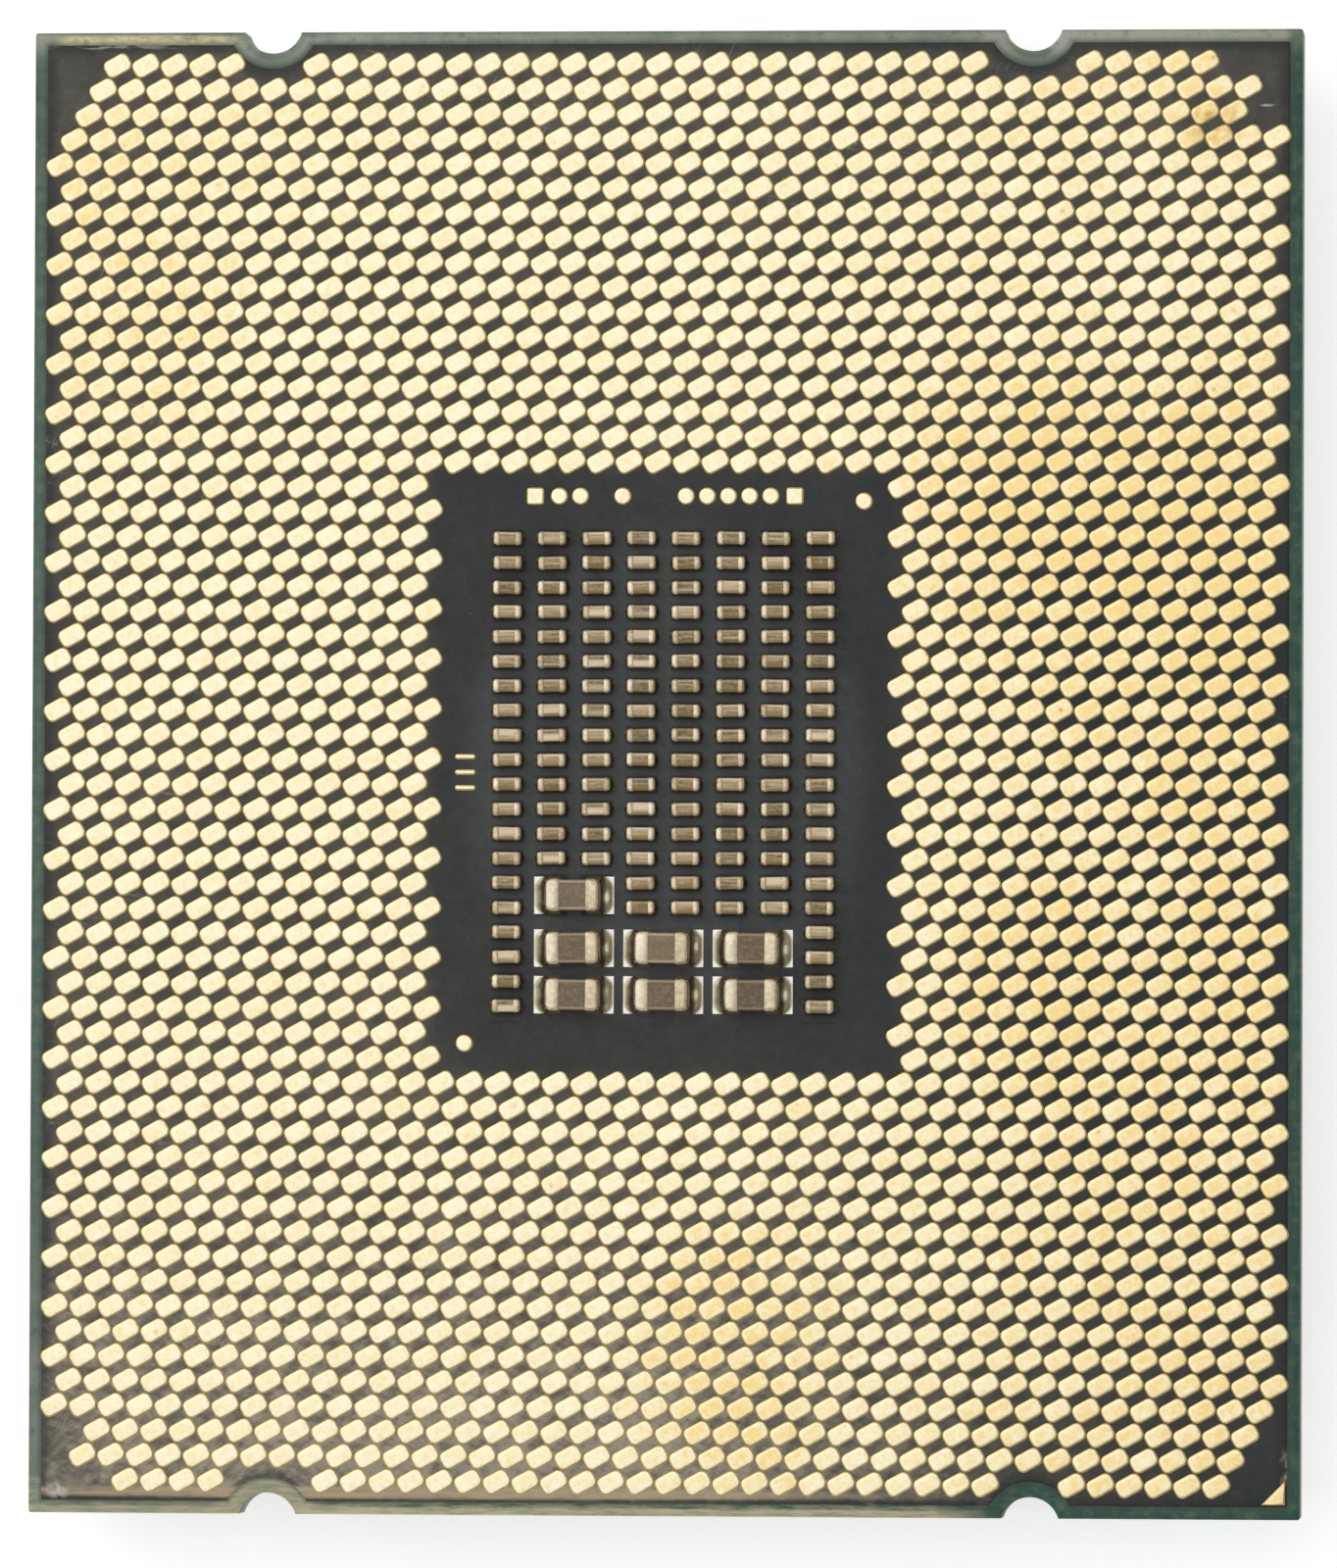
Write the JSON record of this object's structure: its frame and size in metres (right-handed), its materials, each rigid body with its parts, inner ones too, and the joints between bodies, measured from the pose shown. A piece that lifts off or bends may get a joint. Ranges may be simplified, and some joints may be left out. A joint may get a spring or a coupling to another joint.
{
  "type": "computer processor",
  "caption": "Flat processor package shown from its contact side: dark board with a hexagonal field of gold lands, a bank of chip capacitors in its middle and a metal lid beneath.",
  "frame": {"origin": "centre of the lid's outer face, on which the part lies", "axes": "+X across the board, +Y along the board, +Z from the lid towards the lands"},
  "size_m": [0.045, 0.0524, 0.0061],
  "materials": {
    "board": "glass-cloth laminate under green mask, satin",
    "mask": "dark slate solder mask, satin",
    "gold": "pale gold plating, satin, lightly tarnished",
    "small_ceramic": "olive-brown ceramic, smooth",
    "large_ceramic": "taupe ceramic, smooth",
    "terminal": "tin-plated end caps, cream-grey, satin",
    "solder": "bright solder",
    "silicon": "polished silicon",
    "resin": "filled epoxy, glossy",
    "interface_metal": "soft solder alloy",
    "lid_plating": "nickel-plated copper, fine satin",
    "sealant": "black silicone, matte"
  },
  "bodies": {
    "root": {"substrate": "board", "land_side_mask": "mask", "lands_upper": "gold", "lands_left": "gold", "lands_right": "gold", "lands_lower": "gold", "round_test_pads": "gold", "square_test_pads": "gold", "reference_dots": "gold", "corner_triangle": "gold", "side_bars": "gold", "small_capacitor_bodies": "small_ceramic", "small_capacitor_terminals": "terminal", "small_capacitor_joints": "solder", "large_capacitor_body_1": "large_ceramic", "large_capacitor_body_2": "large_ceramic", "large_capacitor_body_3": "large_ceramic", "large_capacitor_body_4": "large_ceramic", "large_capacitor_body_5": "large_ceramic", "large_capacitor_body_6": "large_ceramic", "large_capacitor_body_7": "large_ceramic", "large_capacitor_terminals_1": "terminal", "large_capacitor_terminals_2": "terminal", "large_capacitor_terminals_3": "terminal", "large_capacitor_terminals_4": "terminal", "large_capacitor_terminals_5": "terminal", "large_capacitor_terminals_6": "terminal", "large_capacitor_terminals_7": "terminal", "large_capacitor_joints_1": "solder", "large_capacitor_joints_2": "solder", "large_capacitor_joints_3": "solder", "large_capacitor_joints_4": "solder", "large_capacitor_joints_5": "solder", "large_capacitor_joints_6": "solder", "large_capacitor_joints_7": "solder", "die": "silicon", "underfill": "resin", "thermal_interface": "interface_metal", "lid": "lid_plating", "lid_sealant": "sealant", "lid_side_triangle": "gold"}
  },
  "joints": []
}
